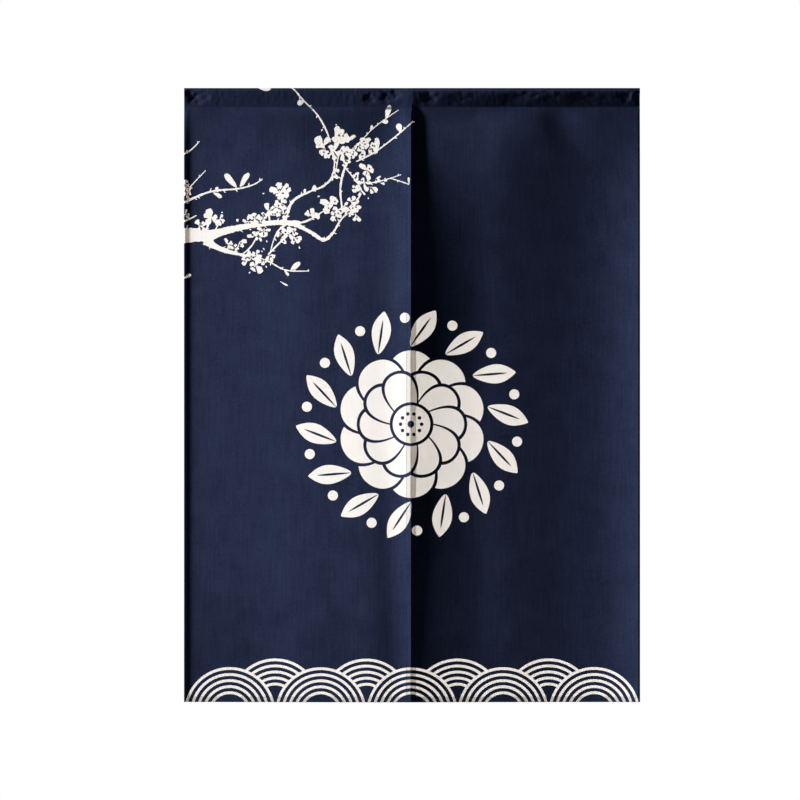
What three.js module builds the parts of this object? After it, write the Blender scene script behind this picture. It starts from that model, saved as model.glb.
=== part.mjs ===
// Split doorway curtain: two cloth panels hung side by side and parted by a slit from the seam down.
// The top of each cloth is folded over to the back and sewn down, which makes a sleeve for a rod.
// Millimetres, +Z up, face towards -Y. The origin is the middle of the top edge, above the slit.
import * as THREE from "three";

const CURTAIN_WIDTH = 890;
const CURTAIN_HEIGHT = 1200;
const SLEEVE_HEIGHT = 37; // top fold to seam
const SLEEVE_DEPTH = 18; // front to back where the rod passes
const SEAM_LAND = 6; // both layers sewn flat together above the seam
const SEAM_PARTING = 0.6; // between the two layers where the sleeve closes
const CLOTH_THICKNESS = 1.2;
const HEM_THICKNESS = 2.2; // cloth turned to the back and sewn
const HEM_WIDTH = 10;
const HEM_STEP = 2; // slope from the hem down to the single cloth
const CLEARANCE = 0.3; // between neighbouring pieces
const EASE_POWER = 1.3; // over 1, so that the cloth leaves the seam straight down

const PANEL_COLUMN = 22; // widest spacing of the points across a panel
const PANEL_ROW_TOP = 25; // spacing of the points down a panel, just under the seam
const PANEL_ROW_GROWTH = 1.13; // each row is that much taller than the one above it
const SLEEVE_STATION = 22;
const SLEEVE_RING = 17;

const HALF_WIDTH = CURTAIN_WIDTH / 2;
const PANEL_TOP = SLEEVE_HEIGHT + CLEARANCE;
const PANEL_HEIGHT = CURTAIN_HEIGHT - PANEL_TOP;

// sweep: how far a panel stands out at the slit once it hangs clear of the seam.
// bow: 1 is an even slope from the outer edge to the slit, more keeps the outer part flat.
// settle: drop under the seam over which the sweep comes up.
// Each fold has its middle, measured in from the panel's outer edge, the half width of its swell,
// and how far it stands out (a trough is negative). It comes up over a drop of `rise` and, where
// `fade` is given, dies away again over that drop. `lean` moves it inwards for each unit of drop.
const PANELS = [
  {
    name: "left",
    outward: -1,
    sweep: 34,
    bow: 1.15,
    settle: 95,
    folds: [
      { middle: -6, width: 12, out: 5, rise: 40, fade: Infinity, lean: 0 },
      { middle: 225, width: 62, out: 2.2, rise: 60, fade: Infinity, lean: 0.02 },
      { middle: 169, width: 18, out: 0.7, rise: 25, fade: 140, lean: -0.56 },
      { middle: 205, width: 130, out: 4.6, rise: 10, fade: 110, lean: 0 },
      { middle: 394, width: 48, out: -6, rise: 20, fade: 95, lean: 0 },
      { middle: 380, width: 36, out: -8, rise: 800, fade: Infinity, lean: 0.0365 },
      { middle: 470, width: 34, out: 6, rise: 45, fade: 700, lean: 0 },
    ],
    puckers: [
      { middle: 4, width: 16, swell: -1.6 },
      { middle: 52, width: 34, swell: 1.2 },
      { middle: 205, width: 55, swell: -0.9 },
      { middle: 330, width: 40, swell: 1 },
      { middle: 400, width: 20, swell: -1.2 },
    ],
  },
  {
    name: "right",
    outward: 1,
    sweep: 20.5,
    bow: 1.9,
    settle: 65,
    folds: [
      { middle: -45, width: 70, out: 17, rise: 120, fade: Infinity, lean: 0 },
      { middle: 300, width: 260, out: 5.5, rise: 70, fade: Infinity, lean: 0 },
      { middle: 255, width: 140, out: 5.5, rise: 130, fade: 300, lean: 0 },
      { middle: 250, width: 62, out: 2.2, rise: 25, fade: 190, lean: 0.12 },
      { middle: 145, width: 90, out: 3.2, rise: 12, fade: 110, lean: 0 },
      { middle: 160, width: 30, out: -6.5, rise: 12, fade: 80, lean: -0.35 },
      { middle: 120, width: 60, out: -0.9, rise: 200, fade: Infinity, lean: 0.03 },
      { middle: 318, width: 38, out: -1.2, rise: 200, fade: Infinity, lean: 0 },
      { middle: 350, width: 62, out: -3.5, rise: 15, fade: 110, lean: 0 },
      { middle: 445, width: 80, out: -9, rise: 20, fade: 130, lean: 0 },
      { middle: 445, width: 160, out: 2, rise: 200, fade: 600, lean: 0 },
      { middle: 445, width: 60, out: 5, rise: 200, fade: 520, lean: 0 },
      { middle: 445, width: 55, out: 3.5, rise: 220, fade: Infinity, lean: 0 },
    ],
    puckers: [
      { middle: 3, width: 14, swell: -1.5 },
      { middle: 24, width: 18, swell: 1.4 },
      { middle: 120, width: 50, swell: -1 },
      { middle: 220, width: 300, swell: 4 },
      { middle: 300, width: 60, swell: 0.9 },
      { middle: 430, width: 22, swell: -1.5 },
    ],
  },
];

const swell = (distance, width) => Math.exp(-((distance / width) ** 2));

const easeIn = (drop, length) => 1 - Math.exp(-((drop / length) ** EASE_POWER));

/** How far the middle of the cloth stands out, at a place in from the outer edge and under the seam. */
function standsOut(panel, inward, drop) {
  const share = inward / HALF_WIDTH;
  const sweep = panel.sweep * share ** panel.bow * easeIn(drop, panel.settle);
  return panel.folds.reduce((sum, fold) => {
    const across = swell(inward - fold.middle - fold.lean * drop, fold.width);
    const along = easeIn(drop, fold.rise) * Math.exp(-((drop / fold.fade) ** 2));
    return sum + fold.out * across * along;
  }, sweep);
}

/** Thickness of the cloth, stepped up inside the hems along the two sides and the bottom. */
function thicknessAt(inward, drop) {
  const fromEdge = Math.min(inward, HALF_WIDTH - inward, PANEL_HEIGHT - drop);
  const step = THREE.MathUtils.clamp((fromEdge - HEM_WIDTH) / HEM_STEP, 0, 1);
  return THREE.MathUtils.lerp(HEM_THICKNESS, CLOTH_THICKNESS, step);
}

/** Even steps from one place to another, none wider than the spacing, both ends included. */
function evenSteps(from, to, spacing) {
  const count = Math.ceil(Math.abs(to - from) / spacing);
  return Array.from({ length: count + 1 }, (_, i) => THREE.MathUtils.lerp(from, to, i / count));
}

/** Places across a panel, in from its outer edge, with a pair of places at the step of each hem. */
function panelColumns() {
  const single = HEM_WIDTH + HEM_STEP;
  const middle = evenSteps(single, HALF_WIDTH - single, PANEL_COLUMN);
  return [0, HEM_WIDTH, ...middle, HALF_WIDTH - HEM_WIDTH, HALF_WIDTH - CLEARANCE / 2];
}

/** Places down a panel from its top edge: close together under the seam and wider towards the hem. */
function panelRows() {
  const single = PANEL_HEIGHT - HEM_WIDTH - HEM_STEP;
  const rows = [0];
  let height = PANEL_ROW_TOP;
  while (rows.at(-1) + height * PANEL_ROW_GROWTH < single) {
    rows.push(rows.at(-1) + height);
    height *= PANEL_ROW_GROWTH;
  }
  return [...rows, single, PANEL_HEIGHT - HEM_WIDTH, PANEL_HEIGHT];
}

/**
 * One closed solid between two matching grids of points, an outside and an inside.
 * The way down the rows, then along a row, turns right-handed about the outward direction.
 * A tube's rows are rings, so they have no free side edges.
 */
function solidBetween(outside, inside, isTube) {
  const rows = outside.length;
  const columns = outside[0].length;
  const faces = [];
  const quad = (a, b, c, d) => faces.push(a, b, c, a, c, d);
  const outer = (row, column) => row * columns + (column % columns);
  const inner = (row, column) => rows * columns + outer(row, column);
  const lastStrip = isTube ? columns : columns - 1;
  for (let row = 0; row + 1 < rows; row++) {
    for (let column = 0; column < lastStrip; column++) {
      const [o, i] = [outer, inner].map((side) => [
        side(row, column),
        side(row + 1, column),
        side(row + 1, column + 1),
        side(row, column + 1),
      ]);
      quad(...o);
      quad(...i.reverse());
    }
  }
  for (let column = 0; column < lastStrip; column++) {
    const next = column + 1;
    quad(outer(0, column), outer(0, next), inner(0, next), inner(0, column));
    const end = rows - 1;
    quad(outer(end, next), outer(end, column), inner(end, column), inner(end, next));
  }
  for (let row = 0; row + 1 < rows && !isTube; row++) {
    const below = row + 1;
    quad(outer(below, 0), outer(row, 0), inner(row, 0), inner(below, 0));
    const end = columns - 1;
    quad(outer(row, end), outer(below, end), inner(below, end), inner(row, end));
  }
  const geometry = new THREE.BufferGeometry().setFromPoints([outside, inside].flat(2));
  geometry.setIndex(faces);
  geometry.computeVertexNormals();
  return geometry;
}

/** A hung panel, from just under the seam to the bottom hem. Its hems are turned to the back. */
function panelGeometry(panel) {
  const columns = panelColumns();
  if (panel.outward > 0) columns.reverse();
  const grid = (faceOf) =>
    panelRows().map((drop) =>
      columns.map((inward) => {
        const face = -standsOut(panel, inward, drop) - CLOTH_THICKNESS / 2;
        const x = panel.outward * (HALF_WIDTH - inward);
        return new THREE.Vector3(x, face + faceOf(inward, drop), -PANEL_TOP - drop);
      }),
    );
  return solidBetween(grid(() => 0), grid(thicknessAt), false);
}

/** One ring of the sleeve: a drop-shaped loop from the seam up the front and over to the back. */
function sleeveRing(x, top, bottom, depth, parting) {
  const WIDEST = 4 / Math.sqrt(27); // of sin(a) * cos(a / 2)
  return evenSteps(-Math.PI, Math.PI, (2 * Math.PI) / (SLEEVE_RING - 1)).map((angle) => {
    const down = (1 - Math.cos(angle)) / 2;
    const bulge = (depth / 2 / WIDEST) * Math.sin(angle) * Math.cos(angle / 2);
    const y = bulge + (Math.sign(angle) * down * parting) / 2;
    return new THREE.Vector3(x, y, THREE.MathUtils.lerp(top, bottom, down));
  });
}

/** The sleeve over a panel, open at both ends, a little fuller or flatter from place to place. */
function sleeveGeometry(panel) {
  const ends = [HALF_WIDTH, CLEARANCE / 2].map((x) => panel.outward * x).sort((a, b) => a - b);
  const stations = evenSteps(...ends, SLEEVE_STATION);
  const depthAt = (x) => {
    const inward = HALF_WIDTH - Math.abs(x);
    return panel.puckers.reduce(
      (depth, pucker) => depth + pucker.swell * swell(inward - pucker.middle, pucker.width),
      SLEEVE_DEPTH,
    );
  };
  const outside = stations.map((x) => sleeveRing(x, 0, -SLEEVE_HEIGHT, depthAt(x), 2 * CLOTH_THICKNESS));
  const inside = stations.map((x) =>
    sleeveRing(
      x,
      -CLOTH_THICKNESS,
      SEAM_LAND - SLEEVE_HEIGHT,
      depthAt(x) - 2 * CLOTH_THICKNESS,
      SEAM_PARTING,
    ),
  );
  return solidBetween(outside, inside, true);
}

const NAVY = 0x282f48;
const navyCotton = () => new THREE.MeshStandardMaterial({ color: NAVY, roughness: 0.92, metalness: 0 });

const curtain = new THREE.Group();
for (const panel of PANELS) {
  const sheet = new THREE.Mesh(panelGeometry(panel), navyCotton());
  sheet.name = `panel_${panel.name}`;
  const sleeve = new THREE.Mesh(sleeveGeometry(panel), navyCotton());
  sleeve.name = `sleeve_${panel.name}`;
  curtain.add(sheet, sleeve);
}

export default curtain;
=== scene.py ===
import math
import random
from collections import namedtuple

import bpy
import numpy as np
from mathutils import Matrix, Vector
from mathutils.geometry import delaunay_2d_cdt


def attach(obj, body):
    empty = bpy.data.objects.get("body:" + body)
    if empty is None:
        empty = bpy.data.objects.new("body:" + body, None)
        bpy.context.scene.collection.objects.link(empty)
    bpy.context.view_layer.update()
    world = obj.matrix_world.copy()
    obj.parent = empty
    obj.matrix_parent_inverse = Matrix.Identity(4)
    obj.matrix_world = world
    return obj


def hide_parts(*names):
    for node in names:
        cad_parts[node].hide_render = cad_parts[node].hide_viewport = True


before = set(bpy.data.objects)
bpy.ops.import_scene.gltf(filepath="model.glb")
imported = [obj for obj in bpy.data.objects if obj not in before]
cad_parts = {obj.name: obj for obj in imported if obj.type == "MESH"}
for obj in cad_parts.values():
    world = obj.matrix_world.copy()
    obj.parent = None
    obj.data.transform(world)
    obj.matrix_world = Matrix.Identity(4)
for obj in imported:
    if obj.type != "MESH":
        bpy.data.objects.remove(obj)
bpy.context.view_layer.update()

# Cloth, how it hangs
# Each half is one length of cotton-linen with its sides and bottom turned to the back as narrow hems.
# Its top is folded to the back and sewn down, which makes the sleeve that a rod goes through, and
# below that seam the halves hang free, a little forward of the rod along the slit between them.
# Places on the cloth are in millimetres, across from the slit and down or along from the top fold.
MM = 0.001
CURTAIN_WIDTH = 890
CURTAIN_HEIGHT = 1200
HALF_WIDTH = CURTAIN_WIDTH / 2
SLIT = 0.9
SLEEVE_HEIGHT = 37
SLEEVE_DEPTH = 18
CLOTH_THICKNESS = 0.8
HEM_THICKNESS = 1.7
HEM_WIDTH = 10
HEM_STEP = 1.2
EDGE_ROUND = 0.3
SEAM_FRONT = 0.6
SEAM_BACK = 1.6
TURNED_UNDER = 5
EASE_POWER = 1.3
ENDLESS = math.inf

# A fold's middle is in from the half's outer edge, and a trough stands out by less than nothing. It comes
# up over a drop of `rise` under the seam, dies away over `fade`, and moves in by `lean` for each unit of
# drop. A pucker makes the sleeve fuller or flatter from front to back, and a dent presses its front in.
Fold = namedtuple("Fold", "middle width out rise fade lean")
Pucker = namedtuple("Pucker", "middle width swell")
Dent = namedtuple("Dent", "inward down width height deep")

# At the slit a half stands out by `sweep`, which comes up over a drop of `settle`. A `bow` over 1 keeps
# the outer part flat. `front` is how full the sleeve's front is, `lift` how proud it is at the join.
Half = namedtuple("Half", "name outward sweep bow settle front lift folds puckers dents")

LEFT = Half(
    "left", -1, sweep=34, bow=1.15, settle=95, front=6.4, lift=2.4,
    folds=[
        Fold(middle=0, width=2, out=-0.8, rise=10, fade=ENDLESS, lean=0),
        Fold(middle=-6, width=12, out=5, rise=40, fade=ENDLESS, lean=0),
        Fold(middle=225, width=62, out=2.2, rise=60, fade=ENDLESS, lean=0.02),
        Fold(middle=169, width=18, out=0.7, rise=25, fade=140, lean=-0.56),
        Fold(middle=205, width=130, out=4.6, rise=10, fade=110, lean=0),
        Fold(middle=150, width=90, out=1.1, rise=10, fade=90, lean=0),
        Fold(middle=394, width=48, out=-6, rise=20, fade=95, lean=0),
        Fold(middle=380, width=38, out=-7, rise=800, fade=ENDLESS, lean=0.0365),
        Fold(middle=470, width=34, out=6, rise=36, fade=700, lean=0),
    ],
    puckers=[
        Pucker(middle=4, width=16, swell=-1.6),
        Pucker(middle=52, width=34, swell=1.2),
        Pucker(middle=205, width=55, swell=-0.9),
        Pucker(middle=330, width=40, swell=1),
        Pucker(middle=400, width=20, swell=-1.2),
    ],
    dents=[
        Dent(inward=17, down=19, width=10, height=15, deep=3.6),
        Dent(inward=34, down=15, width=13, height=13, deep=2.4),
        Dent(inward=361, down=21, width=8, height=10, deep=2.7),
        Dent(inward=394, down=18, width=9, height=9, deep=2.9),
        Dent(inward=413, down=14, width=8, height=8, deep=2.2),
    ],
)
RIGHT = Half(
    "right", 1, sweep=20.5, bow=1.9, settle=65, front=20, lift=0,
    folds=[
        Fold(middle=0, width=1.6, out=-1.3, rise=10, fade=ENDLESS, lean=0),
        Fold(middle=0, width=6, out=0.6, rise=10, fade=ENDLESS, lean=0),
        Fold(middle=-45, width=70, out=17, rise=120, fade=ENDLESS, lean=0),
        Fold(middle=300, width=260, out=5.5, rise=70, fade=ENDLESS, lean=0),
        Fold(middle=255, width=140, out=5.5, rise=130, fade=300, lean=0),
        Fold(middle=250, width=62, out=2.2, rise=25, fade=190, lean=0.12),
        Fold(middle=145, width=90, out=3.2, rise=12, fade=110, lean=0),
        Fold(middle=160, width=38, out=-6.5, rise=12, fade=80, lean=-0.35),
        Fold(middle=120, width=60, out=-0.9, rise=200, fade=ENDLESS, lean=0.03),
        Fold(middle=318, width=38, out=-1.2, rise=200, fade=ENDLESS, lean=0),
        Fold(middle=338, width=62, out=-4, rise=15, fade=110, lean=0),
        Fold(middle=445, width=80, out=-9, rise=20, fade=130, lean=0),
        Fold(middle=445, width=160, out=2, rise=200, fade=600, lean=0),
        Fold(middle=445, width=60, out=5, rise=200, fade=520, lean=0),
        Fold(middle=445, width=55, out=3.5, rise=220, fade=ENDLESS, lean=0),
    ],
    puckers=[
        Pucker(middle=3, width=14, swell=-1.5),
        Pucker(middle=24, width=18, swell=1.4),
        Pucker(middle=120, width=50, swell=-1),
        Pucker(middle=165, width=70, swell=3),
        Pucker(middle=220, width=300, swell=4),
        Pucker(middle=300, width=60, swell=0.9),
        Pucker(middle=430, width=22, swell=-1.5),
    ],
    dents=[
        Dent(inward=412, down=22, width=13, height=15, deep=3.4),
        Dent(inward=352, down=23, width=26, height=11, deep=1.6),
        Dent(inward=250, down=25, width=20, height=12, deep=1.6),
        Dent(inward=228, down=14, width=16, height=8, deep=1.6),
        Dent(inward=198, down=12, width=13, height=7, deep=1.4),
        Dent(inward=172, down=20, width=16, height=11, deep=1.3),
        Dent(inward=112, down=22, width=26, height=11, deep=1.4),
        Dent(inward=72, down=24, width=12, height=10, deep=0.6),
        Dent(inward=29, down=16, width=13, height=10, deep=2.8),
        Dent(inward=13, down=20, width=6, height=12, deep=-2),
        Dent(inward=-5, down=24, width=8, height=16, deep=3),
    ],
)


def swell(distance, width):
    return np.exp(-((distance / width) ** 2))


def ease_in(drop, length):
    return 1 - np.exp(-((np.maximum(drop, 0) / length) ** EASE_POWER))


def stands_out(half, inward, drop):
    """How far the cloth stands out to the front, in from the outer edge and down from the seam."""
    share = np.clip(inward / HALF_WIDTH, 0, None)
    out = half.sweep * share**half.bow * ease_in(drop, half.settle)
    for fold in half.folds:
        across = swell(inward - fold.middle - fold.lean * drop, fold.width)
        down = ease_in(drop, fold.rise) * swell(drop, fold.fade)
        out = out + fold.out * across * down
    return out


# The sleeve's section is a drop: round at the fold, widest at the rod, drawn together at the seam.
def drop_shape(down):
    widest = 4 / math.sqrt(27)
    return 2 * np.sqrt(down) * (1 - down) / widest


# At the front the weight below draws the cloth straight from the rod down to the seam.
ROUND_SHARE = 0.12  # of the sleeve's height, where the cloth comes round the rod


def front_shape(down):
    return (1 - down) * np.sqrt(1 - np.exp(-down / ROUND_SHARE))


SECTION_POINTS = 400
SECTION_DOWN = np.sin(np.linspace(0, math.pi / 2, SECTION_POINTS)) ** 2
SECTION_STEPS = np.hypot(
    np.diff(SLEEVE_HEIGHT * SECTION_DOWN), np.diff(SLEEVE_DEPTH / 2 * drop_shape(SECTION_DOWN))
)
SECTION_ALONG = np.concatenate([[0], np.cumsum(SECTION_STEPS)])
SLEEVE_ALONG = SECTION_ALONG[-1]
CLOTH_START = -SLEEVE_ALONG - TURNED_UNDER
CLOTH_END = SLEEVE_ALONG + CURTAIN_HEIGHT - SLEEVE_HEIGHT - EDGE_ROUND

# Small unevenness is a sum of waves whose paces don't fit one another, so that it never repeats.
Wave = namedtuple("Wave", "strength across down start", defaults=(0, 0))


def uneven(waves, across, down=0):
    return sum(w.strength * np.sin(w.across * across + w.down * down + w.start) for w in waves)


RIPPLE_LENGTH = 17
RIPPLE_OUT = 0.05
RIPPLE_REACH = 9
RIPPLES = [Wave(1, 1), Wave(0.7, 0.61, start=1.3), Wave(0.8, 0.23, start=0.4)]
CRINKLE_LENGTH = 11
CRINKLE_HEIGHT = 30
CRINKLE_OUT = 0.035
CRINKLES = [Wave(1, 0.71, down=1), Wave(1, 1.37, down=-0.7)]
CRINKLE_STRENGTH = [Wave(0.6, 0.083, start=0.9), Wave(0.4, 0.137)]
WANDER = [Wave(2.6, 1 / 5.3, down=1 / 3.7), Wave(2, 1 / 3.4, down=-1 / 5.9)]
JOIN_REACH = 40  # from the slit, where the cloth is drawn aside
JOIN_LAP = 3
SLIT_DRAWN = 1.8
LAP_START = 4
LAP_DROP = 6
LIFT_REACH = 22
LIFT_START = 6
LIFT_FADE = 30


def seam_ripple(across, away):
    """Small puckers that the stitches draw into the cloth on both sides of the seam."""
    turn = across * 2 * math.pi / RIPPLE_LENGTH
    share = away / RIPPLE_REACH
    return RIPPLE_OUT * uneven(RIPPLES, turn) * share * np.exp(1 - share)


def sleeve_crinkle(across, down):
    """Fine upright creases that the rod leaves in the sleeve's front, stronger in some places."""
    turn = across * 2 * math.pi / CRINKLE_LENGTH
    slant = down * 2 * math.pi * SLEEVE_HEIGHT / CRINKLE_HEIGHT
    creases = np.sin(turn + np.sin(slant)) + uneven(CRINKLES, turn, slant)
    return CRINKLE_OUT * creases * (1 + uneven(CRINKLE_STRENGTH, turn)) * drop_shape(down)


def place(half, across, along):
    """Points of the cloth's dyed face, for places across and along the cut length."""
    inward = HALF_WIDTH - half.outward * across
    on_back = along < 0
    in_sleeve = along < SLEEVE_ALONG
    from_fold = np.abs(along)
    drop = np.maximum(along - SLEEVE_ALONG, 0)
    down = np.interp(from_fold, SECTION_ALONG, SECTION_DOWN)
    depth = SLEEVE_DEPTH + sum(p.swell * swell(inward - p.middle, p.width) for p in half.puckers)
    back = depth / 2 * drop_shape(down) + down * SEAM_BACK
    front = half.front * depth / SLEEVE_DEPTH * front_shape(down) + down * SEAM_FRONT
    bulge = np.where(on_back, back, front)
    # The dents' places are shifted a little, so that none is round.
    shift = uneven(WANDER, across, SLEEVE_HEIGHT * down)
    for dent in half.dents:
        beside = inward + shift - dent.inward
        under = SLEEVE_HEIGHT * down + shift - dent.down
        pressed = swell(beside, dent.width) * swell(under, dent.height)
        bulge = bulge - np.where(on_back, 0, dent.deep * pressed * drop_shape(down))
    bulge = bulge + np.where(on_back, 0, sleeve_crinkle(across, down))
    to_seam = np.abs(from_fold - SLEEVE_ALONG)
    bulge = bulge + seam_ripple(across, to_seam)
    hung = -stands_out(half, inward, drop) - SEAM_FRONT - seam_ripple(across, drop)
    y = np.where(in_sleeve, np.where(on_back, bulge, -bulge), hung)
    # At the join the left half lies a little proud of the right one, from the fold to under the seam.
    lifted = half.lift * swell(HALF_WIDTH - inward, LIFT_REACH) * ease_in(along, LIFT_START)
    y = y - lifted * swell(drop, LIFT_FADE)
    below = np.where(on_back, np.maximum(from_fold - SLEEVE_ALONG, 0), drop)
    z = -SLEEVE_HEIGHT * down - below
    # The halves meet off the middle at the back of the join. Under it the left one draws back
    # a little and the right one laps behind it.
    aside = JOIN_LAP if half is RIGHT else SLIT_DRAWN
    lap = JOIN_LAP * ease_in(-along, LAP_DROP) - aside * ease_in(drop - LAP_START, LAP_DROP)
    x = across + lap * swell(HALF_WIDTH - inward, JOIN_REACH)
    return np.stack([x, y, z], axis=-1)


def directions(half, across, along):
    """Unit vectors across and along the cloth, and out of its dyed face."""
    step = 0.05
    right = place(half, across + step, along) - place(half, across - step, along)
    down = place(half, across, along + step) - place(half, across, along - step)
    out = np.cross(down, right)
    return [v / np.linalg.norm(v, axis=-1, keepdims=True) for v in (right, down, out)]


# Cloth, the print
# The dye is kept off the cloth where the pattern stays cream: a border of overlapping wave circles
# along the hem, a plum branch in blossom reaching in from the left edge, and a round flower with
# leaves across the slit. Each shape is an outline with its shade, and a later one covers those before it.
NAVY, CREAM = 0, 1
Shape = namedtuple("Shape", "outline shade")
prints = []


def lay(outline, shade=CREAM):
    """Adds an outline given across from the slit and down from the top edge as the curtain hangs."""
    across, down = np.asarray(outline, float).T
    in_sleeve = down * SLEEVE_ALONG / SLEEVE_HEIGHT
    along = np.where(down < SLEEVE_HEIGHT, in_sleeve, down - SLEEVE_HEIGHT + SLEEVE_ALONG)
    points = np.stack([across, along], axis=-1)
    turned = np.roll(points, -1, axis=0)
    area = np.sum(points[:, 0] * turned[:, 1] - points[:, 1] * turned[:, 0])
    prints.append(Shape(points if area > 0 else points[::-1], shade))


def turns(count):
    return np.linspace(0, 2 * math.pi, count, endpoint=False)


FEWEST_POINTS = 12
POINTS_PER_RADIUS = 1.4  # for each millimetre


def disc(across, down, radius):
    angle = turns(max(FEWEST_POINTS, int(radius * POINTS_PER_RADIUS)))
    return np.stack([across + radius * np.cos(angle), down + radius * np.sin(angle)], axis=-1)


# Wave border: rows of rings, the lower circles over the upper ones, five cream rings in each.
WAVE_SPACING = CURTAIN_WIDTH / 5
WAVE_RADIUS = 89
WAVE_RINGS = 5
WAVE_PITCH = 11.8
WAVE_RING = 5.2
WAVE_SUNK = 20.7  # middles of the lower circles, under the hem
WAVE_RISE = 17
WaveRow = namedtuple("WaveRow", "sunk places")
WAVE_ROWS = [
    WaveRow(WAVE_SUNK - WAVE_RISE, places=(-1.5, -0.5, 0.5, 1.5)),
    WaveRow(WAVE_SUNK, places=(-2, -1, 0, 1, 2)),
]

for row in WAVE_ROWS:
    for place_across in row.places:
        middle = place_across * WAVE_SPACING, CURTAIN_HEIGHT + row.sunk
        for ring in range(WAVE_RINGS):
            outer = WAVE_RADIUS - ring * WAVE_PITCH
            lay(disc(*middle, outer), CREAM)
            lay(disc(*middle, outer - WAVE_RING), NAVY)


NOTCH_SPREAD = 0.35  # radians on each side of a petal's tip
PETAL_BASE = 0.45
PETAL_SPREAD = 0.75  # added towards the tip


def petal(across, down, angle, length, width, count, point=0, notch=0, rough=0):
    """A petal from its base outwards: round at the tip, notched, or pointed there as a leaf is."""
    turn = turns(count)
    share = (1 - np.cos(turn)) / 2
    out = length * (share - notch * swell(turn - math.pi, NOTCH_SPREAD))
    fullness = (PETAL_BASE + PETAL_SPREAD * share) * (1 - point * share**3) * (1 + rough)
    side = width / 2 * np.sin(turn) * fullness
    cos, sin = math.cos(angle), math.sin(angle)
    return np.stack([across + out * cos - side * sin, down + out * sin + side * cos], axis=-1)


# Plum branch, in millimetres in from the left edge and down from the top.
# A limb's places are given with its thickness there, and it runs through them in a smooth line.
LIMBS = {
    "bough": [(-12, 290, 40), (24, 287, 35), (58, 290, 27)],
    "upper limb": [
        (44, 290, 27), (90, 277, 17), (150, 266, 13), (205, 264, 13), (245, 281, 9), (272, 297, 9),
        (290, 284, 6), (306, 258, 4.5), (320, 246, 3.5), (336, 242, 3),
    ],
    "lower limb": [
        (40, 298, 22), (72, 315, 13), (115, 327, 7), (160, 337, 4), (198, 356, 3.5), (244, 358, 2),
    ],
    "riser": [
        (194, 263, 10), (212, 222, 6.5), (245, 203, 4.5), (272, 192, 5), (290, 172, 5), (294, 138, 3),
    ],
    "stem": [(310, 244, 4.5), (305, 200, 4.5), (312, 162, 6), (326, 134, 4)],
    "cross stem": [(309, 150, 3), (334, 180, 3.5), (346, 206, 3.5), (322, 234, 3)],
    "top twig": [(200, -9, 3.2), (230, 22, 3.5), (258, 50, 3.5), (276, 80, 3.9), (286, 106, 2.6)],
    "right twig": [(336, 144, 3.8), (370, 127, 3.8), (410, 98, 3.4), (450, 65, 3.4)],
    "upper right twig": [(350, 99, 2.5), (368, 80, 2.2), (390, 63, 2.5), (419, 43, 1.7)],
    "middle right twig": [(353, 188, 3.5), (385, 182, 2.5), (425, 170, 1.8)],
    "right fork": [(404, 177, 2.5), (424, 183, 2.5), (441, 189, 3)],
    "left twig": [(-6, 226, 5.4), (50, 203, 4.8), (105, 197, 4.2), (135, 189, 3.6), (153, 178, 2.8)],
    "left short twig": [(-6, 132, 4.5), (14, 120, 3.5), (30, 104, 1.8)],
    "left rising twig": [(4, 202, 3.5), (20, 184, 2.5), (42, 161, 1.8)],
    "left spur": [(-6, 262, 6), (8, 257, 4), (24, 249, 2)],
    "hanging twig": [(200, 266, 6), (183, 280, 3.5), (174, 300, 3), (168, 322, 2.5)],
    "lone stalk": [(198, 258, 4), (193, 240, 3.5), (189, 212, 3)],
    "tip stalk": [(212, 266, 6), (234, 262, 5), (252, 254, 4), (276, 238, 3)],
    "crown stalk": [(297, 160, 3), (300, 140, 3), (308, 116, 3)],
    "bough stalk": [(36, 286, 5), (46, 270, 4), (53, 254, 3)],
    "bough side stalk": [(58, 282, 4), (66, 268, 3), (72, 256, 3)],
    "limb stalk": [(134, 268, 5), (138, 260, 4), (140, 252, 3)],
    "limb side stalk": [(168, 266, 5), (166, 252, 4), (166, 240, 3)],
    "low stalk": [(84, 318, 4), (86, 310, 3), (87, 302, 3)],
    "low side stalk": [(98, 322, 4), (104, 312, 3), (110, 300, 3)],
    "lower spray": [(114, 325, 4), (132, 308, 3.5), (147, 280, 2.5)],
    "lower right spray": [(164, 326, 4.5), (186, 303, 4), (212, 280, 3)],
}

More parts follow.
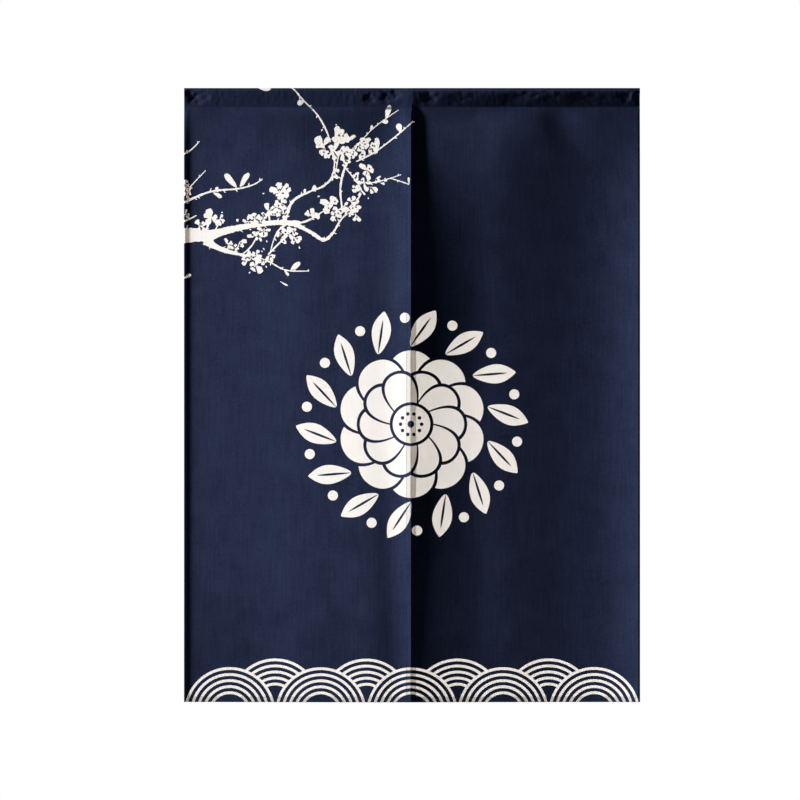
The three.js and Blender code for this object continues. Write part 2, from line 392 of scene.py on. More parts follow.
# A blossom's petals fan out clockwise from its facing, in degrees from straight right. Five petals are
# a full flower, and fewer are one seen from the side.
Blossom = namedtuple("Blossom", "inward down petal facing petals")
BLOSSOMS = [
    Blossom(inward=272, down=112, petal=19, facing=160, petals=3),
    Blossom(inward=291, down=124, petal=16, facing=165, petals=5),
    Blossom(inward=308, down=97, petal=15, facing=-105, petals=5),
    Blossom(inward=311, down=127, petal=13, facing=-35, petals=5),
    Blossom(inward=333, down=121, petal=12, facing=-60, petals=4),
    Blossom(inward=346, down=128, petal=10, facing=-20, petals=3),
    Blossom(inward=326, down=132, petal=9, facing=60, petals=4),
    Blossom(inward=286, down=127, petal=11, facing=130, petals=3),
    Blossom(inward=372, down=124, petal=8, facing=-120, petals=3),
    Blossom(inward=295, down=168, petal=9, facing=-100, petals=3),
    Blossom(inward=350, down=109, petal=15, facing=-170, petals=5),
    Blossom(inward=358, down=161, petal=15, facing=-70, petals=5),
    Blossom(inward=340, down=174, petal=10, facing=120, petals=3),
    Blossom(inward=364, down=194, petal=13, facing=20, petals=3),
    Blossom(inward=336, down=198, petal=10, facing=150, petals=4),
    Blossom(inward=288, down=226, petal=18, facing=130, petals=4),
    Blossom(inward=334, down=231, petal=14, facing=-60, petals=5),
    Blossom(inward=336, down=249, petal=13, facing=50, petals=3),
    Blossom(inward=313, down=232, petal=10, facing=-40, petals=3),
    Blossom(inward=184, down=199, petal=16, facing=-165, petals=3),
    Blossom(inward=195, down=201, petal=14, facing=-75, petals=3),
    Blossom(inward=191, down=208, petal=10, facing=40, petals=3),
    Blossom(inward=190, down=226, petal=12, facing=-40, petals=4),
    Blossom(inward=247, down=250, petal=15, facing=-130, petals=3),
    Blossom(inward=137, down=255, petal=14, facing=-160, petals=4),
    Blossom(inward=165, down=240, petal=12, facing=-120, petals=4),
    Blossom(inward=155, down=250, petal=9, facing=-100, petals=3),
    Blossom(inward=31, down=269, petal=13, facing=-110, petals=4),
    Blossom(inward=53, down=254, petal=15, facing=-90, petals=5),
    Blossom(inward=70, down=257, petal=12, facing=-60, petals=4),
    Blossom(inward=203, down=282, petal=13, facing=-20, petals=5),
    Blossom(inward=217, down=294, petal=12, facing=-10, petals=4),
    Blossom(inward=197, down=297, petal=10, facing=100, petals=3),
    Blossom(inward=155, down=280, petal=12, facing=-10, petals=4),
    Blossom(inward=137, down=289, petal=11, facing=170, petals=3),
    Blossom(inward=86, down=306, petal=11, facing=-100, petals=3),
    Blossom(inward=107, down=302, petal=13, facing=-30, petals=2),
    Blossom(inward=123, down=336, petal=14, facing=120, petals=4),
    Blossom(inward=140, down=347, petal=16, facing=70, petals=4),
    Blossom(inward=141, down=327, petal=11, facing=-60, petals=4),
    Blossom(inward=168, down=327, petal=11, facing=0, petals=3),
    Blossom(inward=1, down=189, petal=12, facing=-60, petals=5),
    Blossom(inward=5, down=207, petal=11, facing=0, petals=5),
    Blossom(inward=3, down=246, petal=9, facing=-60, petals=4),
    Blossom(inward=124, down=262, petal=10, facing=-150, petals=3),
    Blossom(inward=148, down=262, petal=9, facing=-70, petals=3),
    Blossom(inward=182, down=233, petal=12, facing=-80, petals=4),
    Blossom(inward=176, down=249, petal=10, facing=-160, petals=3),
    Blossom(inward=196, down=246, petal=9, facing=-50, petals=3),
    Blossom(inward=186, down=204, petal=16, facing=-170, petals=4),
    Blossom(inward=301, down=239, petal=11, facing=-20, petals=4),
    Blossom(inward=322, down=245, petal=9, facing=80, petals=3),
    Blossom(inward=326, down=222, petal=11, facing=-120, petals=3),
    Blossom(inward=284, down=236, petal=10, facing=150, petals=3),
    Blossom(inward=352, down=185, petal=12, facing=20, petals=4),
    Blossom(inward=374, down=179, petal=9, facing=-40, petals=3),
    Blossom(inward=347, down=202, petal=9, facing=60, petals=3),
    Blossom(inward=388, down=182, petal=7, facing=-10, petals=3),
    Blossom(inward=296, down=250, petal=11, facing=150, petals=4),
    Blossom(inward=340, down=113, petal=11, facing=-60, petals=4),
    Blossom(inward=276, down=121, petal=14, facing=80, petals=3),
    Blossom(inward=318, down=141, petal=9, facing=30, petals=3),
    Blossom(inward=364, down=116, petal=12, facing=-60, petals=3),
    Blossom(inward=289, down=172, petal=10, facing=-70, petals=3),
    Blossom(inward=212, down=281, petal=10, facing=-60, petals=4),
    Blossom(inward=190, down=286, petal=9, facing=150, petals=3),
    Blossom(inward=146, down=290, petal=8, facing=60, petals=3),
    Blossom(inward=96, down=314, petal=9, facing=-130, petals=3),
    Blossom(inward=131, down=333, petal=11, facing=150, petals=4),
    Blossom(inward=154, down=336, petal=9, facing=10, petals=3),
]

# A bud grows from its base along its heading, in degrees clockwise from straight right.
Bud = namedtuple("Bud", "inward down heading length width")
BUDS = [
    Bud(inward=103, down=195, heading=-131, length=36, width=13),
    Bud(inward=109, down=194, heading=-58, length=33, width=12),
    Bud(inward=66, down=204, heading=-110, length=11, width=9),
    Bud(inward=56, down=204, heading=30, length=20, width=8),
    Bud(inward=144, down=1, heading=0, length=26, width=17),
    Bud(inward=234, down=26, heading=160, length=14, width=11),
    Bud(inward=394, down=62, heading=-75, length=30, width=11),
    Bud(inward=384, down=66, heading=0, length=15, width=8),
    Bud(inward=424, down=88, heading=-105, length=19, width=12),
    Bud(inward=364, down=84, heading=-75, length=12, width=6),
    Bud(inward=378, down=122, heading=-95, length=25, width=12),
    Bud(inward=296, down=100, heading=-80, length=26, width=13),
    Bud(inward=318, down=104, heading=-35, length=20, width=9),
    Bud(inward=208, down=356, heading=-40, length=24, width=12),
    Bud(inward=196, down=357, heading=50, length=13, width=6),
    Bud(inward=250, down=202, heading=-60, length=13, width=9),
    Bud(inward=234, down=207, heading=-75, length=10, width=6),
    Bud(inward=228, down=262, heading=180, length=18, width=7),
    Bud(inward=104, down=262, heading=-90, length=6, width=6),
    Bud(inward=441, down=189, heading=-95, length=14, width=5),
    Bud(inward=187, down=378, heading=30, length=18, width=3.5),
    Bud(inward=-2, down=372, heading=-25, length=17, width=7),
]
BRANCH_LEFT = -HALF_WIDTH
LIMB_STEP = 3
LIMB_FULLNESS = 0.76
KNOB = 1.8
KNOB_SHARE = 0.22
SPUR_STEPS = 8  # along a limb from one spur to the next
FIRST_SPUR = 4
SPUR_TURN = (0.6, 1.1)  # radians away from the limb
SPUR_LENGTH = (3, 6)
SPUR_WIDTH = 3
SPUR_POINT = 0.8
SMALL_POINTS = 8

# Between petals a dark crevice is left in some of the larger blossoms, each blossom has up to three
# dark stamens, and beside half of them lies a loose fleck.
PETAL_TURN = 360 / 5
PETAL_SWING = 20
PETAL_LENGTH = (0.8, 1.4)
PETAL_WIDTH = (0.55, 0.92)
PETAL_NOTCH = 0.12
PETAL_POINTS = 12
PETAL_ROUGH = 0.36
CREVICE_SHARE = 0.4
OPEN_PETAL = 11
CREVICE_LENGTH = (0.6, 1.15)
CREVICE_WIDTH = (0.5, 1)
CREVICE = 4
STAMEN_COUNTS = (1, 2, 3)
STAMEN_PLACE = (0.2, 0.8)
STAMEN_AWAY = (0.2, 0.45)
STAMEN = 3.4
FLECK_SHARE = 0.5
FLECK_SWING = 40
FLECK_AWAY = (1.35, 1.8)
FLECK_TURN = (-1, 1)
FLECK_LENGTH = (1, 2)
FLECK = 3
BUD_ROUGH = 0.2

draw = random.Random(11)


def smooth_line(places):
    """Even points of a smooth line through places, each with its thickness."""
    ends = np.array([places[0], *places, places[-1]], float)
    line = []
    for before, start, end, after in zip(ends, ends[1:], ends[2:], ends[3:]):
        count = max(2, int(np.linalg.norm(end[:2] - start[:2]) / LIMB_STEP))
        t = np.linspace(0, 1, count, endpoint=False)[:, None]
        bend = (end - before) * t + (2 * before - 5 * start + 4 * end - after) * t**2
        line.append(start + (bend + (3 * start - before - 3 * end + after) * t**3) / 2)
    return np.concatenate([*line, ends[-1:]])


def roughness(most):
    """How much fuller or slimmer a petal is at each point of its outline."""
    return np.array([draw.uniform(-most, most) for _ in range(PETAL_POINTS)])


for places in LIMBS.values():
    line = smooth_line(places)
    line[:, 0] += BRANCH_LEFT
    way = np.gradient(line[:, :2], axis=0)
    way /= np.linalg.norm(way, axis=1, keepdims=True)
    knobs = np.minimum(KNOB, KNOB_SHARE * line[:, 2]) * [draw.uniform(-1, 1) for _ in line]
    thick = (line[:, 2] + knobs)[:, None] * LIMB_FULLNESS
    side = np.stack([-way[:, 1], way[:, 0]], axis=-1) * thick / 2
    lay(np.concatenate([line[:, :2] + side, (line[:, :2] - side)[::-1]]))
    for i in range(FIRST_SPUR, len(line) - 1, SPUR_STEPS):
        heading = math.atan2(way[i, 1], way[i, 0]) + draw.choice((-1, 1)) * draw.uniform(*SPUR_TURN)
        length = line[i, 2] / 2 + draw.uniform(*SPUR_LENGTH)
        lay(petal(*line[i, :2], heading, length, SPUR_WIDTH, SMALL_POINTS, point=SPUR_POINT))

for blossom in BLOSSOMS:
    heart = np.array([BRANCH_LEFT + blossom.inward, blossom.down])
    fan = [
        blossom.facing + i * PETAL_TURN + draw.uniform(-PETAL_SWING, PETAL_SWING)
        for i in range(blossom.petals)
    ]
    for heading in np.radians(fan):
        length = blossom.petal * draw.uniform(*PETAL_LENGTH)
        width = blossom.petal * draw.uniform(*PETAL_WIDTH)
        notch = draw.uniform(0, PETAL_NOTCH)
        rough = roughness(PETAL_ROUGH)
        lay(petal(*heart, heading, length, width, PETAL_POINTS, notch=notch, rough=rough))
    for heading, following in zip(np.radians(fan), np.radians(fan[1:])):
        if blossom.petal >= OPEN_PETAL and draw.random() < CREVICE_SHARE:
            length = blossom.petal * draw.uniform(*CREVICE_LENGTH)
            width = CREVICE * draw.uniform(*CREVICE_WIDTH)
            lay(petal(*heart, (heading + following) / 2, length, width, SMALL_POINTS), NAVY)
    for i in range(draw.choice(STAMEN_COUNTS)):
        heading = math.radians(blossom.facing + (i + draw.uniform(*STAMEN_PLACE)) * PETAL_TURN)
        away = blossom.petal * draw.uniform(*STAMEN_AWAY)
        stamen = heart + away * np.array([math.cos(heading), math.sin(heading)])
        lay(disc(*stamen, STAMEN / 2), NAVY)
    if draw.random() < FLECK_SHARE:
        last_turn = FLECK_SWING + PETAL_TURN * blossom.petals
        heading = math.radians(blossom.facing + draw.uniform(-FLECK_SWING, last_turn))
        away = blossom.petal * draw.uniform(*FLECK_AWAY)
        fleck = heart + away * np.array([math.cos(heading), math.sin(heading)])
        heading += draw.uniform(*FLECK_TURN)
        lay(petal(*fleck, heading, FLECK * draw.uniform(*FLECK_LENGTH), FLECK, SMALL_POINTS))

for bud in BUDS:
    base = BRANCH_LEFT + bud.inward, bud.down
    rough = roughness(BUD_ROUGH)
    lay(petal(*base, math.radians(bud.heading), bud.length, bud.width, PETAL_POINTS, rough=rough))

# Round flower with leaves, as wide as half the curtain, cream with fine navy lines left between.
FLOWER_DOWN = 657
FLOWER_LINE = 6
LEAVES = 14
LEAF_START = 152
LEAF_LENGTH = 84
LEAF_WIDTH = 50
LEAF_LEAN = math.radians(34)
LEAF_POINT = 0.75
LEAF_POINTS = 40
RIB_SHARE = 0.8  # of the leaf's length
RIB_POINT = 0.6
RIB_POINTS = 16
BERRY_AT = 208
BERRY_TURN = -0.06  # radians back from its leaf
BERRY_RADIUS = 10
FLOWER_PETALS = 10
FLOWER_POINTS = 48
PetalRow = namedtuple("PetalRow", "reach width")
PETAL_ROWS = [PetalRow(reach=144, width=102), PetalRow(reach=102, width=70)]
HEART_RADIUS = 37
SEED_AT = 21
SEED_RADIUS = 3.6


def around(angle, radius):
    return radius * math.cos(angle), FLOWER_DOWN + radius * math.sin(angle)


for i in range(LEAVES):
    angle = (i + 0.5) * 2 * math.pi / LEAVES
    stalk = *around(angle, LEAF_START), angle + LEAF_LEAN
    lay(petal(*stalk, LEAF_LENGTH, LEAF_WIDTH, LEAF_POINTS, point=LEAF_POINT))
    lay(petal(*stalk, LEAF_LENGTH * RIB_SHARE, FLOWER_LINE, RIB_POINTS, point=RIB_POINT), NAVY)
    lay(disc(*around(angle + BERRY_TURN, BERRY_AT), BERRY_RADIUS))
for i, row in enumerate(PETAL_ROWS):
    for k in range(FLOWER_PETALS):
        stalk = 0, FLOWER_DOWN, (k + i / 2) * 2 * math.pi / FLOWER_PETALS - math.pi / 2
        border = row.reach + FLOWER_LINE, row.width + 2 * FLOWER_LINE
        lay(petal(*stalk, *border, FLOWER_POINTS), NAVY)
        lay(petal(*stalk, row.reach, row.width, FLOWER_POINTS))
lay(disc(0, FLOWER_DOWN, HEART_RADIUS + FLOWER_LINE), NAVY)
lay(disc(0, FLOWER_DOWN, HEART_RADIUS))
for i in range(FLOWER_PETALS):
    lay(disc(*around(i * 2 * math.pi / FLOWER_PETALS, SEED_AT), SEED_RADIUS), NAVY)
lay(disc(0, FLOWER_DOWN, 2 * SEED_RADIUS), NAVY)

# Cloth, cut and sewn
# The cut lengths are triangulated flat with the print's outlines in them, so that the cream ends on a
# clean edge, and are then laid over the rod and hung. The cloth has a dyed face, a duller reverse and
# a rounded edge, and is twice as thick where it is turned over as a hem.
COLUMN = 7
ROW = 8
SLEEVE_COLUMN = 2.2
SLEEVE_ROWS = 34
HEM_COLUMNS = [0, 2, 4.5, 7.5, HEM_WIDTH, HEM_WIDTH + HEM_STEP]
SEAM_ROWS = [1.5, 3, 5, 7.5, 10.5, 14, 18, 22.5, 28, 34, 41]
SAME_POINT = 1e-3


def columns_across():
    """Places in from the outer edge, with a close pair at each hem's inner edge."""
    inner = HALF_WIDTH - SLIT / 2
    foot = HEM_COLUMNS[-1]
    count = round((inner - 2 * foot) / COLUMN)
    between = np.linspace(foot, inner - foot, count + 1)[1:-1]
    return np.concatenate([HEM_COLUMNS, between, inner - np.array(HEM_COLUMNS)])


def rows_along():
    """Places along the cut length: close over the sleeve and its seam, wider down to the hem."""
    turned = [CLOTH_START, (CLOTH_START - SLEEVE_ALONG) / 2]
    sleeve = np.linspace(-SLEEVE_ALONG, SLEEVE_ALONG, SLEEVE_ROWS)
    near_seam = SLEEVE_ALONG + np.array(SEAM_ROWS)
    last = CLOTH_END - HEM_WIDTH - HEM_STEP
    hung = np.linspace(near_seam[-1], last, round((last - near_seam[-1]) / ROW) + 1)[1:]
    hem = CLOTH_END - np.array([HEM_WIDTH, HEM_WIDTH / 2, 0])
    return np.concatenate([turned, sleeve, near_seam, hung, hem])


AREAS = 4
CUT_EDGE, _, HEM_FOOT, SLEEVE_AREA = range(AREAS)


def areas(half):
    """Rectangles on a cut half: the cut edge, inside the hems, inside the hems' step, the sleeve."""
    low, high = sorted(half.outward * np.array([SLIT / 2, HALF_WIDTH]))
    for inside, start, end in (
        (0, CLOTH_START, CLOTH_END),
        (HEM_WIDTH, CLOTH_START, CLOTH_END - HEM_WIDTH),
        (HEM_WIDTH + HEM_STEP, CLOTH_START, CLOTH_END - HEM_WIDTH - HEM_STEP),
        (0, -SLEEVE_ALONG, SLEEVE_ALONG),
    ):
        left, right = low + inside, high - inside
        yield [(left, start), (right, start), (right, end), (left, end)]


points, outlines = [], []
for outline in [*areas(LEFT), *areas(RIGHT), *(shape.outline for shape in prints)]:
    outlines.append(list(range(len(points), len(points) + len(outline))))
    points.extend(Vector(p) for p in outline)
for half in (LEFT, RIGHT):
    for across in half.outward * (HALF_WIDTH - columns_across()):
        points.extend(Vector((across, along)) for along in rows_along())
    fine = np.arange(HEM_WIDTH + HEM_STEP, HALF_WIDTH - HEM_WIDTH, SLEEVE_COLUMN)
    for across in half.outward * fine:
        points.extend(Vector((across, along)) for along in rows_along() if 0 < along < SLEEVE_ALONG)
flat, _, triangles, _, _, covers = delaunay_2d_cdt(points, [], outlines, 0, SAME_POINT, True)
flat = np.array(flat)
triangles = np.array(triangles)


def hex_colour(code):
    """sRGB hex to the linear colour that shaders take."""
    values = [int(code[i : i + 2], 16) / 255 for i in (1, 3, 5)]
    return [*(v / 12.92 if v <= 0.04045 else ((v + 0.055) / 1.055) ** 2.4 for v in values), 1]


def add(tree, kind, settings=None, **feeds):
    """Adds a node, sets it up and feeds its inputs, from a value or from another node's output.

    An input is called by its name, or by n and its number where several have the same name.
    """
    node = tree.nodes.new(kind)
    for name, value in (settings or {}).items():
        setattr(node, name, value)
    for name, value in feeds.items():
        by_number = name[0] == "n" and name[1:].isdigit()
        socket = node.inputs[int(name[1:]) if by_number else name.replace("_", " ")]
        if isinstance(value, bpy.types.NodeSocket):
            tree.links.new(value, socket)
        else:
            socket.default_value = value
    return node


THREAD = 1.3 * MM  # real threads are half as wide, too fine to show
THREAD_WAVES = math.pi / 10 / THREAD  # scale at which the wave texture has one band a thread
SLUB_WIDTH = 4 * MM
SLUB_LENGTH = 75 * MM
WEFT_SLUB_LENGTH = 60 * MM
WEFT_SHARE = 0.2
CLOUD = 45 * MM
YARN_GRAIN = 3 * MM
GRAIN_SHARE = 1.2
SLUB_HEIGHT = 0.4  # of a thread's
LIGHT_REACH = (4.2 * MM, 3.8 * MM, 3.5 * MM)  # how far red, green and blue spread in the cloth


def woven_cotton(name, deep, pale, sees_through=0, glow=0):
    """Plain-woven cotton-linen: matt, with long warp slubs, fainter weft slubs and an uneven dye."""
    material = bpy.data.materials.new(name)
    material.use_nodes = True
    tree = material.node_tree
    tree.nodes.clear()
    spot = add(tree, "ShaderNodeTexCoord").outputs["Object"]
    along_warp = (1 / SLUB_WIDTH, 0, 1 / SLUB_LENGTH)
    along_weft = (1 / WEFT_SLUB_LENGTH, 0, 1 / SLUB_WIDTH)
    warp_map = add(tree, "ShaderNodeMapping", Vector=spot, Scale=along_warp).outputs[0]
    weft_map = add(tree, "ShaderNodeMapping", Vector=spot, Scale=along_weft).outputs[0]
    warp = add(tree, "ShaderNodeTexNoise", Vector=warp_map, Scale=1, Detail=3).outputs[0]
    weft = add(tree, "ShaderNodeTexNoise", Vector=weft_map, Scale=1, Detail=2).outputs[0]
    cloud = add(tree, "ShaderNodeTexNoise", Vector=spot, Scale=1 / CLOUD, Detail=4).outputs[0]
    grain = add(tree, "ShaderNodeTexNoise", Vector=spot, Scale=1 / YARN_GRAIN, Detail=2).outputs[0]
    share_added = {"operation": "MULTIPLY_ADD"}
    yarn = add(tree, "ShaderNodeMath", share_added, n0=grain, n1=GRAIN_SHARE, n2=cloud).outputs[0]
    slubs = add(tree, "ShaderNodeMath", share_added, n0=weft, n1=WEFT_SHARE, n2=warp).outputs[0]
    shade = add(tree, "ShaderNodeMath", {"operation": "ADD"}, n0=yarn, n1=slubs).outputs[0]
    dye = add(tree, "ShaderNodeMapRange", Value=shade, From_Min=1.1, From_Max=2.3).outputs[0]
    colour = add(
        tree, "ShaderNodeMix", {"data_type": "RGBA"}, n0=dye, n6=hex_colour(deep), n7=hex_colour(pale)
    ).outputs[2]
    bands = [
        add(
            tree, "ShaderNodeTexWave", {"bands_direction": way}, Vector=spot, Scale=THREAD_WAVES,
            Distortion=0.6, Detail=1,
        ).outputs["Fac"]
        for way in ("X", "Z")
    ]
    weave = add(tree, "ShaderNodeMath", {"operation": "MULTIPLY"}, n0=bands[0], n1=bands[1]).outputs[0]
    height = add(tree, "ShaderNodeMath", share_added, n0=slubs, n1=SLUB_HEIGHT, n2=weave).outputs[0]
    bump = add(tree, "ShaderNodeBump", Height=height, Strength=0.14, Distance=0.2 * MM).outputs[0]
    # A glow above nothing is emission, painted light: no real cloth gives off light.
    cloth = add(
        tree, "ShaderNodeBsdfPrincipled", Base_Color=colour, Normal=bump, Roughness=0.95, IOR=1.46,
        Specular_IOR_Level=0.08, Subsurface_Weight=sees_through, Subsurface_Radius=LIGHT_REACH,
        Subsurface_Scale=1, Emission_Color=hex_colour(pale), Emission_Strength=glow,
    )
    add(tree, "ShaderNodeOutputMaterial", Surface=cloth.outputs[0])
    return material


# The navy is dyed in, matt and a little uneven. The cream is the cloth left undyed, which looks as even
# as paper because light from behind comes through it. Over the rod the second layer stops that light,
# so the cream there is painted paler and given a faint glow of its own, as painted light. The reverse
# is a little duller.
CLOTH_FINISHES = [
    woven_cotton("navy dyed cotton-linen", "#262d4a", "#3d486a"),
    woven_cotton("undyed cream cotton-linen", "#dfddda", "#ebe9e6", 1),
    woven_cotton("navy cotton-linen, reverse", "#2e364f", "#404a68"),
    woven_cotton("undyed cream cotton-linen, reverse", "#c9c4bd", "#dbd6cf", 1),
    # Painted light: a paler cream with a faint glow stands in for the back light that the sleeve's second
    # layer stops.
    woven_cotton("painted-glow cream cotton-linen over the rod", "#f4f0ea", "#fbf9f5", glow=0.4),
]
REVERSE = 2
PAINTED_GLOW_OVER_ROD = 4
SHARP_EDGE = math.radians(40)


def thickness(half, across, along):
    """The cloth's own thickness, stepped up inside the hems along both sides and the bottom."""
    inward = HALF_WIDTH - half.outward * across
    from_edge = np.minimum(np.minimum(inward, HALF_WIDTH - SLIT / 2 - inward), CLOTH_END - along)
    step = np.clip((from_edge - HEM_WIDTH) / HEM_STEP, 0, 1)
    return HEM_THICKNESS + (CLOTH_THICKNESS - HEM_THICKNESS) * step


def sew_half(half, first_area):
    """One half as a closed mesh: dyed face with the print, reverse, and a rounded edge all round."""
    own = [i for i, ids in enumerate(covers) if first_area + CUT_EDGE in ids]
    tops = [max(covers[i]) - 2 * AREAS for i in own]
    shades = np.array([prints[top].shade if top >= 0 else NAVY for top in tops])
    turned = np.array([first_area + HEM_FOOT not in covers[i] for i in own])
    in_sleeve = np.array([first_area + SLEEVE_AREA in covers[i] for i in own])
    used, local = np.unique(triangles[own], return_inverse=True)
    local = local.reshape(-1, 3)
    across, along = flat[used].T
    right, down, out = directions(half, across, along)
    thick = thickness(half, across, along)[:, None]
    face = place(half, across, along)
    reverse = face - out * thick
    sides = np.concatenate([local[:, [0, 1]], local[:, [1, 2]], local[:, [2, 0]]])
    undirected = np.sort(sides, axis=1)
    _, first, counts = np.unique(undirected, axis=0, return_index=True, return_counts=True)
    lone = first[counts == 1]
    edge = sides[lone]
    edge_shades = shades[lone % len(local)]
    low, high = sorted(half.outward * np.array([SLIT / 2, HALF_WIDTH]))
    near = 1e-2
    outward = right * ((across > high - near) * 1.0 - (across < low + near))[:, None]
    outward += down * ((along > CLOTH_END - near) * 1.0 - (along < CLOTH_START + near))[:, None]
    rim = (face + reverse) / 2 + outward * EDGE_ROUND
    count = len(used)
    a, b = edge.T
    faces = [
        *local[:, ::-1].tolist(),
        *(local + count).tolist(),
        *np.stack([a, b, b + 2 * count, a + 2 * count], axis=1).tolist(),
        *np.stack([a + 2 * count, b + 2 * count, b + count, a + count], axis=1).tolist(),
    ]
    # The cream over the rod takes the paler, faintly glowing finish, which is painted light.
    dyed = np.where((shades == CREAM) & in_sleeve, PAINTED_GLOW_OVER_ROD, shades)
    behind = np.where(turned, NAVY, shades + REVERSE)
    finish = np.concatenate([dyed, behind, edge_shades, edge_shades])
    mesh = bpy.data.meshes.new(f"cloth_{half.name}")
    kept = np.concatenate([np.arange(2 * count), 2 * count + np.unique(edge)])
    renumber = np.full(3 * count, -1)
    renumber[kept] = np.arange(len(kept))
    vertices = np.concatenate([face, reverse, rim])[kept] * MM
    mesh.from_pydata(vertices.tolist(), [], [renumber[f].tolist() for f in faces])
    for material in CLOTH_FINISHES:
        mesh.materials.append(material)
    mesh.polygons.foreach_set("material_index", finish.astype(np.int32))
    mesh.polygons.foreach_set("use_smooth", np.ones(len(faces), bool))
    mesh.set_sharp_from_angle(angle=SHARP_EDGE)
    mesh.update()
    cloth = bpy.data.objects.new(f"cloth_{half.name}", mesh)
    bpy.context.scene.collection.objects.link(cloth)
    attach(cloth, "root")
    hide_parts(f"panel_{half.name}", f"sleeve_{half.name}")
    return cloth


cloths = [sew_half(LEFT, 0), sew_half(RIGHT, AREAS)]

# Stitching
# Navy cotton sewing thread in plain lockstitch, along the sleeve's seam and the inner edge of the hems.
# Each stitch dips into the cloth at both ends. The side hems' stitches show on the face and on the
# reverse, the bottom hem's on the reverse alone.
STITCH = 3
STITCH_GAP = 0.8
STITCH_WIDTH = 0.55
STITCH_PROUD = 0.22
FULL_SHARE = 0.5  # of a stitch's length, at its full width
SEAM_UP = 2.5
HEM_STITCH = HEM_WIDTH - 1.5
BELOW_SEAM = 4
ABOVE_END = 2
FACE, BACK = 0, 1


def stitch_run(half, across, along, spread_along, side):
    """Stitches centred at the given places, as bodies of two sunk ends and two rings of three points."""
    right, down, out = directions(half, across, along)
    lengthways = down if spread_along else right
    base = place(half, across, along)
    if side == BACK:
        base = base - out * thickness(half, across, along)[:, None]
        out = -out
    sideways = np.cross(lengthways, out)
    sunk = out * STITCH_PROUD
    reach = lengthways * (STITCH - STITCH_GAP) / 2
    width = sideways * STITCH_WIDTH / 2
    corners = [base - reach - sunk, base + reach - sunk]
    for shift in (-FULL_SHARE * reach, FULL_SHARE * reach):
        corners += [base + shift - width, base + shift + sunk, base + shift + width]
    return np.stack(corners, axis=1)


STITCH_TOP = [(0, 3, 2), (0, 4, 3), (2, 3, 6, 5), (3, 4, 7, 6), (1, 5, 6), (1, 6, 7)]
STITCH_FACES = [*STITCH_TOP, (0, 2, 5, 1), (0, 1, 7, 4)]


def runs(half):
    """Every line of stitching on one half, as places across and along the cut length."""
    low, high = sorted(half.outward * np.array([SLIT / 2, HALF_WIDTH]))
    widths = np.arange(low + STITCH, high - STITCH, STITCH)
    lengths = np.arange(SLEEVE_ALONG + BELOW_SEAM, CLOTH_END - ABOVE_END, STITCH)
    hem_line = CLOTH_END - HEM_STITCH
    yield widths, np.full(len(widths), SLEEVE_ALONG - SEAM_UP), False, [FACE]
    yield widths, np.full(len(widths), -SLEEVE_ALONG + SEAM_UP), False, [FACE]
    yield widths, np.full(len(widths), hem_line), False, [BACK]
    for across in (low + HEM_STITCH, high - HEM_STITCH):
        yield np.full(len(lengths), across), lengths, True, [FACE, BACK]


bodies = []
for half in (LEFT, RIGHT):
    for across, along, spread_along, sides in runs(half):
        bodies.extend(stitch_run(half, across, along, spread_along, side) for side in sides)
bodies = np.concatenate(bodies)
count, corners = bodies.shape[:2]
thread_faces = [tuple(i * corners + c for c in face) for i in range(count) for face in STITCH_FACES]
thread_mesh = bpy.data.meshes.new("stitching")
thread_mesh.from_pydata((bodies.reshape(-1, 3) * MM).tolist(), [], thread_faces)
stitching = bpy.data.objects.new("stitching", thread_mesh)
bpy.context.scene.collection.objects.link(stitching)
# The thread is a shade darker than the cloth, so its stitches read as a fine broken line.
thread_mesh.materials.append(woven_cotton("navy cotton sewing thread", "#232944", "#303957"))
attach(stitching, "root")

# Room
# A plain pale floor two metres under the rod, a narrow soft light from the left that grazes the cloth
# and models its folds, a broad light behind that comes through the undyed cloth, and a white surround.
FLOOR_DOWN = 2.0
FLOOR_RADIUS = 1.5
FLOOR_POINTS = 96
floor_mesh = bpy.data.meshes.new("floor")
floor_edge = [
    (FLOOR_RADIUS * math.cos(angle), FLOOR_RADIUS * math.sin(angle), -FLOOR_DOWN)
    for angle in turns(FLOOR_POINTS)
]
floor_mesh.from_pydata(floor_edge, [], [list(range(len(floor_edge)))])
floor = bpy.data.objects.new("floor", floor_mesh)
bpy.context.scene.collection.objects.link(floor)
# The floor's paint is pale and matt, so it mirrors nothing of the cloth.
paint = bpy.data.materials.new("matt floor paint")
paint.use_nodes = True
coat = paint.node_tree.nodes["Principled BSDF"]
coat.inputs["Base Color"].default_value = hex_colour("#d2d0cc")
coat.inputs["Roughness"].default_value = 0.8
floor_mesh.materials.append(paint)

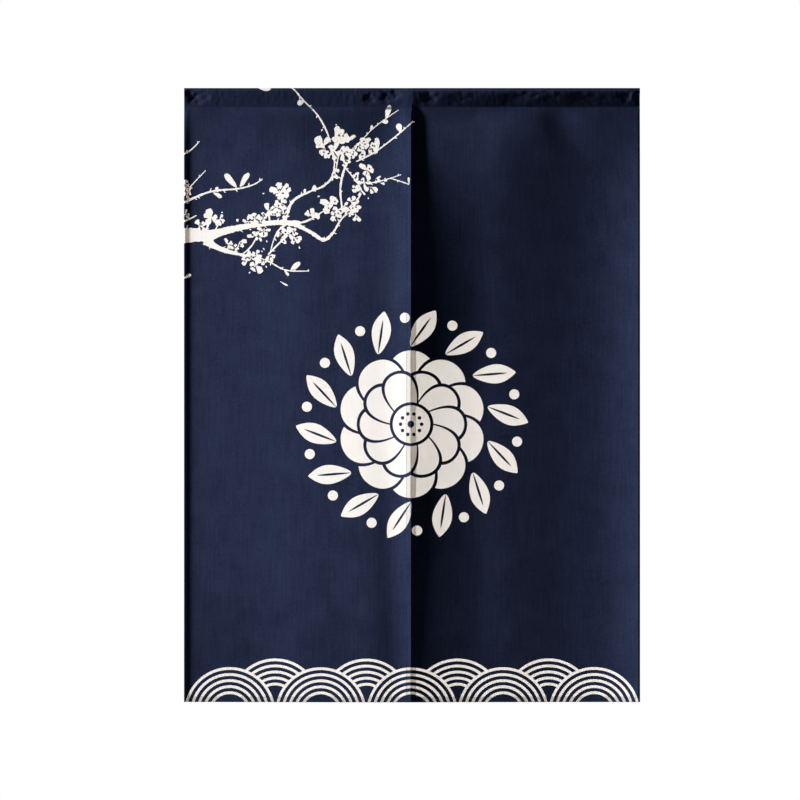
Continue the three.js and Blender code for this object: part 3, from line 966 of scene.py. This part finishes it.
MIDDLE = Vector((0, 0, -CURTAIN_HEIGHT / 2 * MM))
Lamp = namedtuple("Lamp", "name kind from_left above distance watts settings")
LAMPS = [
    Lamp(
        "key", "SPOT", from_left=80, above=14, distance=10, watts=8200,
        settings={"shadow_soft_size": 0.5, "spot_size": math.radians(10), "spot_blend": 0.1},
    ),
    Lamp("back light", "AREA", from_left=190, above=1, distance=7, watts=850, settings={"size": 3}),
]
for lamp in LAMPS:
    light = bpy.data.lights.new(lamp.name, lamp.kind)
    light.energy = lamp.watts
    for name, value in lamp.settings.items():
        setattr(light, name, value)
    fitting = bpy.data.objects.new(lamp.name, light)
    turn = math.radians(lamp.from_left)
    rise = math.radians(lamp.above)
    level = math.cos(rise)
    towards = Vector((-math.sin(turn) * level, -math.cos(turn) * level, math.sin(rise)))
    fitting.location = MIDDLE + towards * lamp.distance
    fitting.rotation_euler = towards.to_track_quat("Z", "Y").to_euler()
    bpy.context.scene.collection.objects.link(fitting)

world = bpy.data.worlds.new("white surround")
world.use_nodes = True
bpy.context.scene.world = world
surround = world.node_tree
surround.nodes.clear()
seen = add(surround, "ShaderNodeBackground", Color=(1, 1, 1, 1), Strength=1)
lit = add(surround, "ShaderNodeBackground", Color=(1, 1, 1, 1), Strength=0.02)
ray = add(surround, "ShaderNodeLightPath").outputs["Is Camera Ray"]
mixed = add(surround, "ShaderNodeMixShader", n0=ray, n1=lit.outputs[0], n2=seen.outputs[0])
add(surround, "ShaderNodeOutputWorld", Surface=mixed.outputs[0])
bpy.context.scene.view_settings.view_transform = "Standard"

MM_PER_PIXEL = 1.9544
FRAME_PIXELS = 800
SLIT_PIXEL = 412
TOP_PIXEL = 88
LENS = 500  # long, so the view is nearly without perspective
SENSOR = 36
camera_data = bpy.data.cameras.new("camera")
camera_data.lens = LENS
camera_data.sensor_width = SENSOR
camera = bpy.data.objects.new("camera", camera_data)
distance = MM_PER_PIXEL * FRAME_PIXELS * LENS / SENSOR * MM
camera.location = (
    (FRAME_PIXELS / 2 - SLIT_PIXEL) * MM_PER_PIXEL * MM,
    -distance,
    (TOP_PIXEL - FRAME_PIXELS / 2) * MM_PER_PIXEL * MM,
)
camera.rotation_euler = (math.pi / 2, 0, 0)
bpy.context.scene.collection.objects.link(camera)
bpy.context.scene.camera = camera
